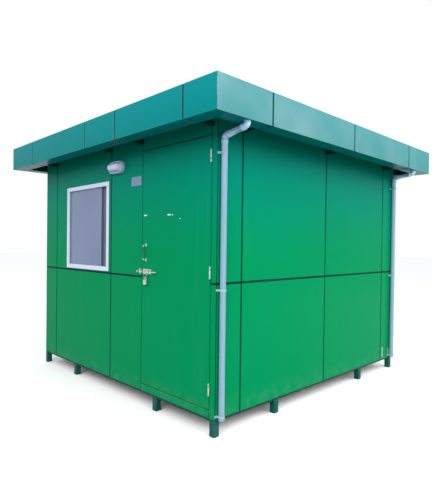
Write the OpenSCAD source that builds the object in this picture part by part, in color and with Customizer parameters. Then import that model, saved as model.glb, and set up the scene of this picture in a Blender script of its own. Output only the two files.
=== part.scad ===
// Portable site cabin. A square box of flat composite panels stands on short steel feet, under
// a boxed eaves fascia. One plain door opens outwards beside the front right corner.
// X runs along the front to the right, Y runs to the back and Z is up. The origin is at ground
// level under the middle of the plan.

/* [Body] */
// Width of the clad body, along the front
body_w = 3050; // [2540:1:3660]
// Depth of the clad body, front to back
body_d = 3050; // [2540:1:3660]
// Height of the tops of the walls, where the roof deck lies
wall_top_z = 2500; // [2480:1:3000]
// Side of the square posts, which is also the thickness of the wall cores
post_w = 50; // [40:1:60]
// Thickness of the boards that line the room
lining_t = 9; // [6:1:15]

/* [Base] */
// Height of the lower edge of the wall panels above the ground
clad_base_z = 140; // [120:1:200]
// How far the base beams show below the wall panels
beam_show = 20; // [10:1:40]
// Height of the base beams
beam_h = 60; // [50:1:100]
// Thickness of the floor deck
floor_t = 18; // [12:1:25]
// Distance of the middle feet from the centre lines of the plan
foot_offset = 750; // [500:1:900]
// Number of floor joists between the side beams
joist_count = 5; // [3:1:7]

/* [Panels] */
// Thickness of the composite panels and their fixing tape
clad_t = 6; // [4:1:12]
// Width of the open joints between panels
joint_w = 18; // [10:1:24]
// Distance from each corner of the body to its nearest upright joint
end_panel_w = 290; // [250:1:310]
// Height of the middle of the level joint round the walls
mid_joint_z = 1189; // [900:1:1250]

/* [Eaves and roof] */
// How far the fascia stands out beyond the wall panels
overhang = 305; // [250:1:450]
// How far the fascia hangs below the tops of the walls
fascia_drop = 102; // [90:1:130]
// Height of the fascia
fascia_h = 257; // [220:1:350]
// Width of the strip that returns under the fascia
fascia_return = 145; // [130:1:180]
// Width of the coping on top of the fascia
coping_w = 60; // [40:1:100]
// Thickness of the roof deck
deck_t = 18; // [12:1:25]
// Fall of the roof sheet from left to right
roof_fall = 60; // [30:1:80]
// Thickness of the roof sheet
sheet_t = 2; // [1:0.5:3]
// Height of the ribs of the roof sheet
rib_h = 25; // [15:1:35]
// Distance from one rib to the next
rib_pitch = 250; // [200:1:330]
// Width of the box gutter behind the right fascia
gutter_w = 126; // [110:1:135]

/* [Downpipes] */
// Outer diameter of the downpipes
pipe_d = 48; // [40:1:58]
// Wall thickness of the downpipes
pipe_wall = 3; // [2:0.5:4]
// Distance from the corner of the body to the middle of each downpipe
pipe_inset = 50; // [45:1:120]
// Gap between the wall face and the downpipes
pipe_stand = 3.5; // [3.5:0.5:12]
// Distance from the fascia's face back to the middle of the stub under it
stub_inset = 46; // [44:1:80]
// Height of the open lower end of the downpipes
pipe_end_z = 135; // [100:1:200]
// How far the upper bend lies below the fascia
upper_bend_drop = 30; // [30:1:110]
// Fall of the sloping run from the upper bend to the lower one
bend_fall = 38; // [35:1:110]

/* [Door] */
// Width of the door leaf
door_w = 914; // [760:1:1000]
// Height of the door leaf
door_h = 2134; // [1778:1:2150]
// Thickness of the door leaf behind its outer panel
door_core_t = 34; // [28:1:40]
// Gap beside, over and under the door leaf
door_gap = 7.5; // [6:0.5:9]
// Length of each hinge
hinge_len = 100; // [75:1:125]
// Distance from the end of the leaf to the middle of the end hinges
hinge_inset = 157; // [120:1:250]
// Height of the middle of the pull handle
handle_z = 1414; // [1350:1:1500]
// Height of the pull handle
handle_h = 146; // [120:1:200]
// Height of the bolt
bolt_z = 1240; // [1150:1:1300]
// Length of the bolt rod
bolt_len = 240; // [200:1:300]
// Diameter of the bolt rod
bolt_d = 12; // [10:1:14]
// How far the bolt shoots
bolt_throw = 60; // [50:1:62]

/* [Window] */
// Outer width of the window frame
win_w = 914; // [600:1:1000]
// Outer height of the window frame
win_h = 914; // [600:1:1100]
// Width of the frame's front face
win_face = 42; // [30:1:60]
// How far the frame stands proud of the panels
win_proud = 12; // [8:1:20]
// How far the panes lie behind the front of the frame
pane_recess = 23; // [18:1:35]
// Width of the dark inner pane that shows beside the pale one
dark_w = 124; // [60:1:200]

/* [Lamp and plate] */
// Length of the oval lamp
lamp_w = 240; // [180:1:280]
// Height of the oval lamp
lamp_h = 120; // [90:1:140]
// Depth of the lamp's base
lamp_base_t = 28; // [20:1:40]
// Depth of the lamp's cover in front of its base
lamp_cover_t = 58; // [45:1:70]
// Height of the middle of the lamp
lamp_z = 2240; // [2150:1:2260]
// Width of the small plate beside the door
plate_w = 160; // [120:1:180]
// Height of the small plate
plate_h = 85; // [60:1:100]

/* [Hidden] */
$fn = 48;

// Planes of the walls, measured outwards from the middle of the plan
half_w = body_w / 2;
half_d = body_d / 2;
core_w = half_w - clad_t;
core_d = half_d - clad_t;
room_w = core_w - post_w;
room_d = core_d - post_w;
lined_w = room_w - lining_t;
lined_d = room_d - lining_t;

// Levels
beam_z = clad_base_z - beam_show;
deck_z = beam_z + beam_h;
floor_z = deck_z + floor_t;
foot_w = post_w + clad_t;
joist_h = 50;
joist_w = 50;
ceiling_z = wall_top_z - joist_h - lining_t;

// Door opening. The hinge side lies against the front right corner post.
open_x1 = core_w - post_w;
open_x0 = open_x1 - door_w - 2 * door_gap;
open_z0 = floor_z;
sill_extra = 0.5;
open_z1 = open_z0 + door_h + 2 * (door_gap + sill_extra);
leaf_x0 = open_x0 + door_gap;
leaf_x1 = open_x1 - door_gap;
leaf_z0 = open_z0 + door_gap + sill_extra;
leaf_z1 = leaf_z0 + door_h;
leaf_back_y = -core_d + door_core_t;
stop_w = 15;
stop_gap = 5;

// Window opening. The frame's flange laps the panels round the hole.
win_from_joint = 37;
win_over_joint = 10;
win_x1 = -win_from_joint;
win_x0 = win_x1 - win_w;
win_z0 = mid_joint_z + joint_w / 2 + win_over_joint;
win_z1 = win_z0 + win_h;
win_lap = 12;
hole_x0 = win_x0 + win_lap;
hole_x1 = win_x1 - win_lap;
hole_z0 = win_z0 + win_lap;
hole_z1 = win_z1 - win_lap;
pane_w = win_w - 2 * win_face - dark_w;
pane_t = 8;
glass_t = 5;
pane_gap = 6;

// Eaves
fascia_z = wall_top_z - fascia_drop;
eave_w = half_w + overhang;
eave_d = half_d + overhang;
fascia_top_z = fascia_z + fascia_h;
arm_h = 40;
arm_w = 40;
strip_t = 8;
arm_z = fascia_z + clad_t;
arm_top_z = arm_z + arm_h;
deck_edge_w = eave_w - clad_t - strip_t;
deck_edge_d = eave_d - clad_t - strip_t;
gutter_t = 3;
seal_gap = 0.5;
gutter_x1 = deck_edge_w;
gutter_x0 = gutter_x1 - gutter_w;
deck_top_z = wall_top_z + deck_t;
firring_w = 50;
firring_low = 12;
firring_low_z = deck_top_z + firring_low;
sheet_margin = 4;
sheet_drip = 30;
sheet_seat = 0.05;
sheet_x0 = -deck_edge_w + sheet_margin;
sheet_x1 = gutter_x0 + sheet_drip;
roof_slope = atan(roof_fall / (gutter_x0 + deck_edge_w));

// Downpipes
pipe_out = pipe_d / 2 + pipe_stand;
pipe_x = half_w + pipe_out;
stub_x = eave_w - stub_inset;
upper_bend_z = fascia_z - upper_bend_drop;
lower_bend_z = upper_bend_z - bend_fall;
pipe_y = half_d - pipe_inset;
bend_r = 34;
socket_wall = 3;
socket_len = 30;
bend_lip = 1;
bend_lead = 3;
run_angle = atan((upper_bend_z - lower_bend_z) / (stub_x - pipe_x));
bend_angle = 90 - run_angle;
bend_set = bend_r * tan(bend_angle / 2);
clip_t = 2.5;
clip_h = 18;
clip_ear = 22;
clip_gap = 0.3;
clip_below = 63;
clip_lift = 15;
clip_low_z = clad_base_z + clip_lift;
clip_top_z = lower_bend_z - bend_set - socket_len - clip_h - clip_below;
clip_mid_drop = 40;
clip_mid_z = (clip_low_z + clip_top_z) / 2 - clip_mid_drop;

// Hinges
pin_r = 3.5;
pin_clear = 0.3;
pin_head = 2;
knuckle_r = 7;
hinge_leaf_t = 2.5;
hinge_leaf_w = 40;
hinge_x = open_x1 - door_gap / 2;
hinge_gap = 1;
hinge_y = -half_d - knuckle_r - hinge_gap;
knuckle_share = 0.3;
knuckle_clear = 0.5;
hinge_zs = [leaf_z0 + hinge_inset, (leaf_z0 + leaf_z1) / 2, leaf_z1 - hinge_inset];

// Door fittings
handle_edge = 57;
handle_x = leaf_x0 + handle_edge;
handle_d = 12;
handle_out = 30;
handle_bend = 12;
rose_d = 30;
rose_t = 4;
bolt_out = 24;
bolt_y = -half_d - bolt_out;
bolt_back = 2;
guide_edge = 27;
guide_pitch = 100;
guide_x = [leaf_x0 + guide_edge, leaf_x0 + guide_edge + guide_pitch];
guide_w = 16;
guide_r = 11;
guide_clear = 0.5;
guide_plate_t = 3;
guide_plate_h = 44;
keep_edge = 25;
keep_x = open_x0 - keep_edge;
keep_clear = 1.5;
keep_margin = 6;
tongue_w = 10;
tongue_t = 5;
tongue_drop = 34;
tongue_gap = 5;
tongue_x = guide_x[1] - guide_w / 2 - tongue_gap - tongue_w / 2;
lock_edge = 78;
lock_x = leaf_x0 + lock_edge;
shackle_d = 7;
shackle_r = 13;
shackle_leg = 10;
lock_w = 42;
lock_h = 42;
lock_t = 20;
eye_t = 4;
eye_r = 8;
eye_clear = 0.8;
eye_out = 20;
eye_below = 17;
eye_z = bolt_z - tongue_drop - eye_below;

// Lamp and plate
lamp_x = 125;
cover_rim = 12;
// Each step of the domed cover: how deep it reaches and how many rims it is set in
cover_steps = [[0.35, 2], [0.75, 3.4], [1, 5.6]];
plate_edge = 17;
plate_x1 = open_x0 - plate_edge;
plate_z = 2035;
plate_t = 3;

// Joints of the panels along each side, seen from outside with the run going to +X
joint_x = half_w - end_panel_w;
joint_y = half_d - end_panel_w;
front_joints = [-joint_x, 0];
back_joints = [-joint_x, 0, joint_x];
side_joints = [-joint_y, 0, joint_y];
front_fascia_joints = [-joint_x, 0, open_x0, open_x1];

// Lengths left between joints when a run is cut at each of them
function spans(ends, joints, gap) = let (
    marks = concat([ends[0]], joints, [ends[1]]),
    last = len(marks) - 1
) [for (i = [0:last - 1]) [
    marks[i] + (i == 0 ? 0 : gap / 2),
    marks[i + 1] - (i == last - 1 ? 0 : gap / 2)
]];

// Rows of panels below and above the level joint
panel_rows = [
    [clad_base_z, mid_joint_z - joint_w / 2],
    [mid_joint_z + joint_w / 2, wall_top_z]
];

module block(x, y, z) {
    translate([x[0], y[0], z[0]])
        cube([x[1] - x[0], y[1] - y[0], z[1] - z[0]]);
}

// Copies its children to the left and the right of the middle of the plan
module both_sides() {
    children();
    mirror([1, 0, 0]) children();
}

module front_and_back() {
    children();
    mirror([0, 1, 0]) children();
}

// A run of panels on the front of a wall whose face is at -out
module panel_run(columns, rows, out) {
    for (c = columns)
        for (r = rows)
            block(c, [-out, -out + clad_t], r);
}

module feet() color([0.10, 0.45, 0.38]) {
    both_sides() front_and_back() {
        block([half_w - foot_w, half_w], [half_d - foot_w, half_d], [0, clad_base_z]);
        block([foot_offset - foot_w / 2, foot_offset + foot_w / 2],
              [core_d - post_w / 2 - foot_w / 2, core_d - post_w / 2 + foot_w / 2], [0, beam_z]);
        block([core_w - post_w / 2 - foot_w / 2, core_w - post_w / 2 + foot_w / 2],
              [foot_offset - foot_w / 2, foot_offset + foot_w / 2], [0, beam_z]);
    }
}

// Beams under the front and back walls, between the corner feet
module base_side_beams() color([0.12, 0.22, 0.20])
    front_and_back()
        block([-room_w, room_w], [-core_d, -room_d], [beam_z, deck_z]);

// Beams under the side walls and the floor joists between them, all front to back
module base_cross_beams() color([0.12, 0.22, 0.20]) {
    both_sides()
        block([room_w, core_w], [-room_d, room_d], [beam_z, deck_z]);
    for (i = [1:joist_count]) {
        x = -room_w + 2 * room_w * i / (joist_count + 1);
        block([x - joist_w / 2, x + joist_w / 2], [-room_d, room_d], [beam_z, deck_z]);
    }
}

module floor_deck() color([0.55, 0.52, 0.47])
    block([-room_w, room_w], [-room_d, room_d], [deck_z, floor_z]);

module corner_posts() color([0.12, 0.22, 0.20])
    both_sides() front_and_back()
        block([room_w, core_w], [room_d, core_d], [clad_base_z, wall_top_z]);

// The two parts of the front wall that run from base to top
module front_wall_bays() color([0.12, 0.22, 0.20]) {
    block([-room_w, hole_x0], [-core_d, -room_d], [deck_z, wall_top_z]);
    block([hole_x1, open_x0], [-core_d, -room_d], [deck_z, wall_top_z]);
}

// The parts of the front wall under and over the window and over the door
module front_wall_infill() color([0.12, 0.22, 0.20]) {
    block([hole_x0, hole_x1], [-core_d, -room_d], [deck_z, hole_z0]);
    block([hole_x0, hole_x1], [-core_d, -room_d], [hole_z1, wall_top_z]);
    block([open_x0, open_x1], [-core_d, -room_d], [open_z1, wall_top_z]);
}

module side_walls() color([0.12, 0.22, 0.20])
    both_sides()
        block([room_w, core_w], [-room_d, room_d], [deck_z, wall_top_z]);

module back_wall() color([0.12, 0.22, 0.20])
    block([-room_w, room_w], [room_d, core_d], [deck_z, wall_top_z]);

// Panels on the front wall, with the hole for the window and the strips round the door
module front_cladding() color([0.05, 0.62, 0.42]) {
    difference() {
        panel_run(spans([-half_w, open_x0], front_joints, joint_w), panel_rows, half_d);
        block([hole_x0, hole_x1], [-half_d - 1, -half_d + clad_t + 1], [hole_z0, hole_z1]);
    }
    panel_run([[open_x1, half_w]], panel_rows, half_d);
    panel_run([[leaf_x0, leaf_x1]], [[clad_base_z, open_z0], [open_z1, wall_top_z]], half_d);
}

module side_cladding() color([0.05, 0.62, 0.42])
    for (turn = [90, -90])
        rotate([0, 0, turn])
            panel_run(spans([-core_d, core_d], side_joints, joint_w), panel_rows, half_w);

module back_cladding() color([0.05, 0.62, 0.42])
    rotate([0, 0, 180])
        panel_run(spans([-half_w, half_w], back_joints, joint_w), panel_rows, half_d);

// Boards inside the room
module front_lining() color([0.86, 0.86, 0.82])
    difference() {
        block([-room_w, room_w], [-room_d, -lined_d], [floor_z, wall_top_z - joist_h]);
        block([hole_x0, hole_x1], [-room_d - 1, -lined_d + 1], [hole_z0, hole_z1]);
        block([open_x0, room_w + 1], [-room_d - 1, -lined_d + 1], [floor_z - 1, open_z1]);
    }

module side_linings() color([0.86, 0.86, 0.82])
    both_sides()
        block([lined_w, room_w], [-lined_d, lined_d], [floor_z, wall_top_z - joist_h]);

module back_lining() color([0.86, 0.86, 0.82])
    block([-room_w, room_w], [lined_d, room_d], [floor_z, wall_top_z - joist_h]);

module ceiling() color([0.90, 0.90, 0.88])
    block([-lined_w, lined_w], [-lined_d, lined_d], [ceiling_z, ceiling_z + lining_t]);

module roof_joists() color([0.12, 0.22, 0.20])
    for (i = [1:joist_count]) {
        x = -room_w + 2 * room_w * i / (joist_count + 1);
        block([x - joist_w / 2, x + joist_w / 2], [-room_d, room_d],
              [wall_top_z - joist_h, wall_top_z]);
    }

// Flat deck over walls and eaves. Its right edge lies on the side of the gutter.
module roof_deck() color([0.35, 0.36, 0.34])
    block([-deck_edge_w, gutter_x0 + gutter_t], [-deck_edge_d, deck_edge_d],
          [wall_top_z, deck_top_z]);

// Tapered bearers that give the roof sheet its fall
module roof_firrings() color([0.35, 0.36, 0.34])
    for (i = [-2:2])
        translate([0, i * (deck_edge_d - firring_w) / 2, 0])
            rotate([90, 0, 0])
                linear_extrude(firring_w, center = true)
                    polygon([
                        [-deck_edge_w, deck_top_z],
                        [gutter_x0, deck_top_z],
                        [gutter_x0, firring_low_z],
                        [-deck_edge_w, firring_low_z + roof_fall]
                    ]);

// Ribbed sheet, with the ribs running down the fall
rib_foot = 60;
rib_crown = 30;
rib_edge = 60;
rib_count = floor(2 * (deck_edge_d - sheet_margin - rib_edge) / rib_pitch);
function sheet_line(lift) = [
    [-deck_edge_d + sheet_margin, lift],
    for (i = [0:rib_count])
        let (y = (i - rib_count / 2) * rib_pitch)
            each [
                [y - rib_foot / 2, lift],
                [y - rib_crown / 2, lift + rib_h],
                [y + rib_crown / 2, lift + rib_h],
                [y + rib_foot / 2, lift]
            ],
    [deck_edge_d - sheet_margin, lift]
];
function reversed(list) = [for (i = [len(list) - 1:-1:0]) list[i]];

module roof_sheet() color([0.78, 0.80, 0.80])
    translate([sheet_x0, 0,
               firring_low_z + roof_fall - sheet_margin * tan(roof_slope) + sheet_seat])
        rotate([0, roof_slope, 0])
            rotate([90, 0, 90])
                linear_extrude((sheet_x1 - sheet_x0) / cos(roof_slope))
                    polygon(concat(sheet_line(0), reversed(sheet_line(sheet_t))));

// Floor of the box gutter on the eaves arms, with an outlet over each downpipe
module gutter_floor() color([0.80, 0.82, 0.82])
    difference() {
        block([gutter_x0, gutter_x1], [-deck_edge_d, deck_edge_d],
              [arm_top_z, arm_top_z + gutter_t]);
        front_and_back()
            translate([stub_x, -pipe_y, arm_top_z - 1])
                cylinder(d = pipe_d - 2 * pipe_wall, h = gutter_t + 2);
    }

// Long sides of the gutter and the end plates sealed between them
module gutter_sides() color([0.80, 0.82, 0.82]) {
    z = [arm_top_z + gutter_t, wall_top_z];
    block([gutter_x0, gutter_x0 + gutter_t], [-deck_edge_d, deck_edge_d], z);
    block([gutter_x1 - gutter_t, gutter_x1], [-deck_edge_d, deck_edge_d], z);
    front_and_back()
        block([gutter_x0 + gutter_t + seal_gap, gutter_x1 - gutter_t - seal_gap],
              [deck_edge_d - gutter_t, deck_edge_d], z);
}

// Places its children behind each joint of the eaves. They are drawn at the front, with
// the wall face at $wall and the face of the eaves at $face.
module behind_joints() {
    $wall = half_d;
    $face = eave_d;
    for (at = front_fascia_joints)
        translate([at, 0, 0]) children();
    for (at = back_joints)
        rotate([0, 0, 180]) translate([at, 0, 0]) children();
    for (at = side_joints)
        for (turn = [90, -90]) {
            $wall = half_w;
            $face = eave_w;
            rotate([0, 0, turn]) translate([at, 0, 0]) children();
        }
}

module eaves_arms() color([0.12, 0.22, 0.20])
    behind_joints()
        block([-arm_w / 2, arm_w / 2], [-$face + clad_t, -$wall], [arm_z, arm_top_z]);

module eaves_uprights() color([0.12, 0.22, 0.20])
    behind_joints()
        block([-arm_w / 2, arm_w / 2], [-$face + clad_t, -$face + clad_t + strip_t],
              [arm_top_z, fascia_top_z - clad_t]);

// One flat of the folded eaves panels along one side, mitred at the corners. It spans the
// given depth behind the face and the given height.
module eaves_side(joints, half_run, out, depth, height) {
    intersection() {
        for (s = spans([-half_run, half_run], joints, joint_w))
            block(s, [-out + depth[0], -out + depth[1]], height);
        translate([0, 0, height[0] - 1])
            linear_extrude(height[1] - height[0] + 2)
                polygon([
                    [-half_run + seal_gap, -out],
                    [half_run - seal_gap, -out],
                    [half_run - seal_gap - fascia_return, -out + fascia_return],
                    [-half_run + seal_gap + fascia_return, -out + fascia_return]
                ]);
    }
}

module eaves_round(depth, height) {
    eaves_side(front_fascia_joints, eave_w, eave_d, depth, height);
    rotate([0, 0, 180]) eaves_side(back_joints, eave_w, eave_d, depth, height);
    for (turn = [90, -90])
        rotate([0, 0, turn]) eaves_side(side_joints, eave_d, eave_w, depth, height);
}

module eaves_faces() color([0.08, 0.60, 0.58])
    eaves_round([0, clad_t], [fascia_z, fascia_top_z]);

// The flats under the eaves, with a hole that clears the socket of each downpipe
module eaves_returns() color([0.08, 0.60, 0.58])
    difference() {
        eaves_round([clad_t, fascia_return], [fascia_z, fascia_z + clad_t]);
        front_and_back()
            translate([stub_x, -pipe_y, fascia_z - 1])
                cylinder(d = pipe_d + 2 * (socket_wall + clip_gap), h = clad_t + 2);
    }

module eaves_copings() color([0.08, 0.60, 0.58])
    eaves_round([clad_t, coping_w], [fascia_top_z - clad_t, fascia_top_z]);

// Length of the sloping run between the ends of its two bends
run_len = (stub_x - pipe_x) / cos(run_angle) - 2 * bend_set;

// The straight lengths of a downpipe as rods of radius r: stub, sloping run and fall.
// Each starts back from the end of its bend; the rods pass the open ends by extra.
module pipe_rods(r, back, extra) {
    stub_low = upper_bend_z + bend_set + back;
    translate([stub_x, 0, stub_low]) cylinder(r = r, h = arm_top_z + extra - stub_low);
    translate([pipe_x, 0, lower_bend_z])
        rotate([0, 90 - run_angle, 0])
            translate([0, 0, bend_set + back]) cylinder(r = r, h = run_len - 2 * back);
    translate([pipe_x, 0, pipe_end_z - extra])
        cylinder(r = r, h = lower_bend_z - bend_set - back - pipe_end_z + extra);
}

// The two bends as arcs of radius r, each running a little way into its sockets
module pipe_bends(r) {
    turn = bend_angle + 2 * bend_lead;
    translate([stub_x - bend_r, 0, upper_bend_z + bend_set])
        rotate([90, 0, 0])
            rotate([0, 0, bend_lead - turn])
                rotate_extrude(angle = turn) translate([bend_r, 0]) circle(r = r);
    translate([pipe_x + bend_r, 0, lower_bend_z - bend_set])
        rotate([90, 0, 0])
            rotate([0, 0, 180 + bend_lead - turn])
                rotate_extrude(angle = turn) translate([bend_r, 0]) circle(r = r);
}

// Wider sockets over both ends of the two bends
module pipe_sockets() {
    r = pipe_d / 2 + socket_wall;
    translate([stub_x, 0, upper_bend_z + bend_set]) cylinder(r = r, h = socket_len);
    translate([pipe_x, 0, lower_bend_z - bend_set - socket_len]) cylinder(r = r, h = socket_len);
    translate([pipe_x, 0, lower_bend_z])
        rotate([0, 90 - run_angle, 0]) {
            translate([0, 0, bend_set]) cylinder(r = r, h = socket_len);
            translate([0, 0, bend_set + run_len - socket_len]) cylinder(r = r, h = socket_len);
        }
}

module downpipes() color([0.78, 0.82, 0.90])
    front_and_back()
        translate([0, -pipe_y, 0])
            difference() {
                union() {
                    pipe_rods(pipe_d / 2, socket_len / 2, 0);
                    pipe_bends(pipe_d / 2 + socket_wall - bend_lip);
                    pipe_sockets();
                }
                pipe_rods(pipe_d / 2 - pipe_wall, 0, 1);
                pipe_bends(pipe_d / 2 - pipe_wall - bend_lip);
            }

// Saddle clips that strap the downpipes to the wall, with an ear on each side
clip_zs = [clip_low_z, clip_mid_z, clip_top_z];
module pipe_clips() color([0.75, 0.78, 0.84])
    front_and_back()
        for (z = clip_zs)
            translate([pipe_x, -pipe_y, z]) {
                r = pipe_d / 2 + clip_gap;
                intersection() {
                    difference() {
                        cylinder(r = r + clip_t, h = clip_h);
                        translate([0, 0, -1]) cylinder(r = r, h = clip_h + 2);
                    }
                    block([0, r + clip_t], [-r - clip_t, r + clip_t], [-1, clip_h + 1]);
                }
                for (side = [-1, 1])
                    translate([0, side * (r + clip_t / 2), 0]) {
                        block([-pipe_out, 0], [-clip_t / 2, clip_t / 2], [0, clip_h]);
                        translate([-pipe_out, side < 0 ? -clip_ear : -clip_t / 2, 0])
                            cube([clip_t, clip_ear + clip_t / 2, clip_h]);
                    }
            }

// A flanged ring that laps the panels, with its body through the wall
module window_frame() color([0.92, 0.93, 0.96])
    difference() {
        union() {
            block([win_x0, win_x1], [-half_d - win_proud, -half_d], [win_z0, win_z1]);
            block([hole_x0, hole_x1], [-half_d - 1, -lined_d], [hole_z0, hole_z1]);
        }
        block([win_x0 + win_face, win_x1 - win_face], [-half_d - win_proud - 1, -lined_d + 1],
              [win_z0 + win_face, win_z1 - win_face]);
    }

pane_y = -half_d - win_proud + pane_recess;

// The pale outer pane, slid to the left of its track
module window_sash() color([0.62, 0.66, 0.78])
    block([win_x0 + win_face, win_x0 + win_face + pane_w], [pane_y, pane_y + pane_t],
          [win_z0 + win_face, win_z1 - win_face]);

// The dark inner pane, across the whole opening
module window_glass() color([0.25, 0.27, 0.36])
    block([win_x0 + win_face, win_x1 - win_face],
          [pane_y + pane_t + pane_gap, pane_y + pane_t + pane_gap + glass_t],
          [win_z0 + win_face, win_z1 - win_face]);

// Flat outline with round ends
module oval(w, h) {
    hull()
        for (side = [-1, 1])
            translate([side * (w - h) / 2, 0]) circle(d = h);
}

module lamp_base() color([0.90, 0.91, 0.95])
    translate([lamp_x, -half_d, lamp_z])
        rotate([90, 0, 0])
            linear_extrude(lamp_base_t) oval(lamp_w, lamp_h);

module lamp_cover() color([0.85, 0.87, 0.93])
    translate([lamp_x, -half_d - lamp_base_t, lamp_z])
        rotate([90, 0, 0])
            hull()
                for (step = cover_steps)
                    linear_extrude(lamp_cover_t * step[0])
                        oval(lamp_w - step[1] * cover_rim, lamp_h - step[1] * cover_rim);

module wall_plate() color([0.66, 0.68, 0.78])
    block([plate_x1 - plate_w, plate_x1], [-half_d - plate_t, -half_d],
          [plate_z, plate_z + plate_h]);

// A round-headed lug with a bore for the bolt, standing on the face of the panels
module bolt_lug(x, bore_r) {
    difference() {
        union() {
            translate([x - guide_w / 2, bolt_y, bolt_z])
                rotate([0, 90, 0]) cylinder(r = guide_r, h = guide_w);
            block([x - guide_w / 2, x + guide_w / 2], [bolt_y, -half_d],
                  [bolt_z - guide_r, bolt_z + guide_r]);
        }
        translate([x - guide_w / 2 - 1, bolt_y, bolt_z])
            rotate([0, 90, 0]) cylinder(r = bore_r, h = guide_w + 2);
    }
}

module bolt_keep() color([0.72, 0.76, 0.76]) {
    bolt_lug(keep_x, bolt_d / 2 + keep_clear);
    block([keep_x - guide_w / 2 - keep_margin, keep_x + guide_w / 2 + keep_margin],
          [-half_d - guide_plate_t, -half_d],
          [bolt_z - guide_plate_h / 2, bolt_z + guide_plate_h / 2]);
}

// One side of a butt hinge. The frame side carries the end knuckles and the pin.
module hinge_side(frame) {
    end_len = hinge_len * knuckle_share;
    mid_from = end_len + knuckle_clear;
    mid_len = hinge_len - 2 * mid_from;
    plate_x = frame ? door_gap / 2 - hinge_leaf_t : -door_gap / 2;
    difference() {
        union() {
            translate([plate_x, 0, 0]) cube([hinge_leaf_t, hinge_leaf_w, hinge_len]);
            if (frame) {
                cylinder(r = knuckle_r, h = end_len);
                translate([0, 0, hinge_len - end_len]) cylinder(r = knuckle_r, h = end_len);
            } else {
                translate([0, 0, mid_from]) cylinder(r = knuckle_r, h = mid_len);
            }
        }
        if (frame) {
            translate([0, 0, end_len])
                cylinder(r = knuckle_r + knuckle_clear, h = hinge_len - 2 * end_len);
        } else {
            translate([0, 0, -1]) cylinder(r = knuckle_r + knuckle_clear, h = mid_from + 1);
            translate([0, 0, hinge_len - mid_from])
                cylinder(r = knuckle_r + knuckle_clear, h = mid_from + 1);
            translate([0, 0, mid_from - 1]) cylinder(r = pin_r + pin_clear, h = mid_len + 2);
        }
    }
    if (frame)
        translate([0, 0, -pin_head]) cylinder(r = pin_r, h = hinge_len + 2 * pin_head);
}

module hinges(frame) {
    for (z = hinge_zs)
        translate([hinge_x, hinge_y, z - hinge_len / 2]) hinge_side(frame);
}

module frame_hinge_leaves() color([0.72, 0.76, 0.76]) hinges(true);

module door_hinge_leaves() color([0.72, 0.76, 0.76]) hinges(false);

// Strips inside the opening that the closed leaf stands in front of
module door_stops() color([0.12, 0.22, 0.20]) {
    y = [leaf_back_y + stop_gap, -room_d];
    block([open_x0, open_x0 + stop_w], y, [floor_z, open_z1]);
    block([open_x1 - stop_w, open_x1], y, [floor_z, open_z1]);
    block([open_x0 + stop_w + 1, open_x1 - stop_w - 1], y, [open_z1 - stop_w, open_z1]);
}

module door_sill() color([0.30, 0.34, 0.33])
    block([open_x0, open_x1], [-core_d, -room_d], [deck_z, floor_z]);

module door_leaf() color([0.86, 0.86, 0.82])
    block([leaf_x0, leaf_x1], [-core_d, leaf_back_y], [leaf_z0, leaf_z1]);

module door_skin() color([0.05, 0.62, 0.42])
    block([leaf_x0, leaf_x1], [-half_d, -core_d], [leaf_z0, leaf_z1]);

// D-shaped pull on two round roses
module pull_handle() color([0.72, 0.76, 0.76])
    translate([handle_x, -half_d, handle_z]) {
        reach = handle_h / 2 - handle_d / 2;
        for (side = [0, 1])
            mirror([0, 0, side]) {
                translate([0, 0, reach]) rotate([90, 0, 0]) {
                    cylinder(d = rose_d, h = rose_t);
                    cylinder(d = handle_d, h = handle_out - handle_bend);
                }
                translate([0, -handle_out + handle_bend, reach - handle_bend])
                    rotate([0, -90, 0])
                        rotate([0, 0, -90])
                            rotate_extrude(angle = 90)
                                translate([handle_bend, 0]) circle(d = handle_d);
            }
        translate([0, -handle_out, -reach + handle_bend])
            cylinder(d = handle_d, h = 2 * (reach - handle_bend));
    }

// Two lugs on one plate for the rod, and the eye that the padlock hangs from
module bolt_guides() color([0.72, 0.76, 0.76]) {
    for (x = guide_x)
        bolt_lug(x, bolt_d / 2 + guide_clear);
    block([guide_x[0] - guide_w, guide_x[1] + guide_w], [-half_d - guide_plate_t, -half_d],
          [bolt_z - guide_plate_h / 2, bolt_z + guide_plate_h / 2]);
    difference() {
        union() {
            translate([lock_x - eye_t / 2, -half_d - eye_out, eye_z])
                rotate([0, 90, 0]) cylinder(r = eye_r, h = eye_t);
            block([lock_x - eye_t / 2, lock_x + eye_t / 2], [-half_d - eye_out, -half_d],
                  [eye_z - eye_r, eye_z + eye_r]);
        }
        translate([lock_x - eye_t, -half_d - eye_out, eye_z])
            rotate([0, 90, 0]) cylinder(r = shackle_d / 2 + eye_clear, h = 2 * eye_t);
    }
}

// Square body hung by its shackle from the eye
module padlock() color([0.70, 0.74, 0.75])
    translate([lock_x, -half_d - eye_out, eye_z - shackle_r]) {
        rotate([90, 0, 0])
            rotate_extrude(angle = 180) translate([shackle_r, 0]) circle(d = shackle_d);
        for (side = [-1, 1])
            translate([side * shackle_r, 0, -shackle_leg - 1])
                cylinder(d = shackle_d, h = shackle_leg + 1);
        block([-lock_w / 2, lock_w / 2], [-lock_t / 2, lock_t / 2],
              [-shackle_leg - lock_h, -shackle_leg]);
    }

// The rod drawn back, clear of the keep, with the tongue it is moved by
module bolt_rod() color([0.72, 0.76, 0.76]) {
    translate([leaf_x0 + bolt_back, bolt_y, bolt_z])
        rotate([0, 90, 0]) cylinder(d = bolt_d, h = bolt_len);
    block([tongue_x - tongue_w / 2, tongue_x + tongue_w / 2],
          [bolt_y - tongue_t / 2, bolt_y + tongue_t / 2], [bolt_z - tongue_drop, bolt_z]);
}

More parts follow.
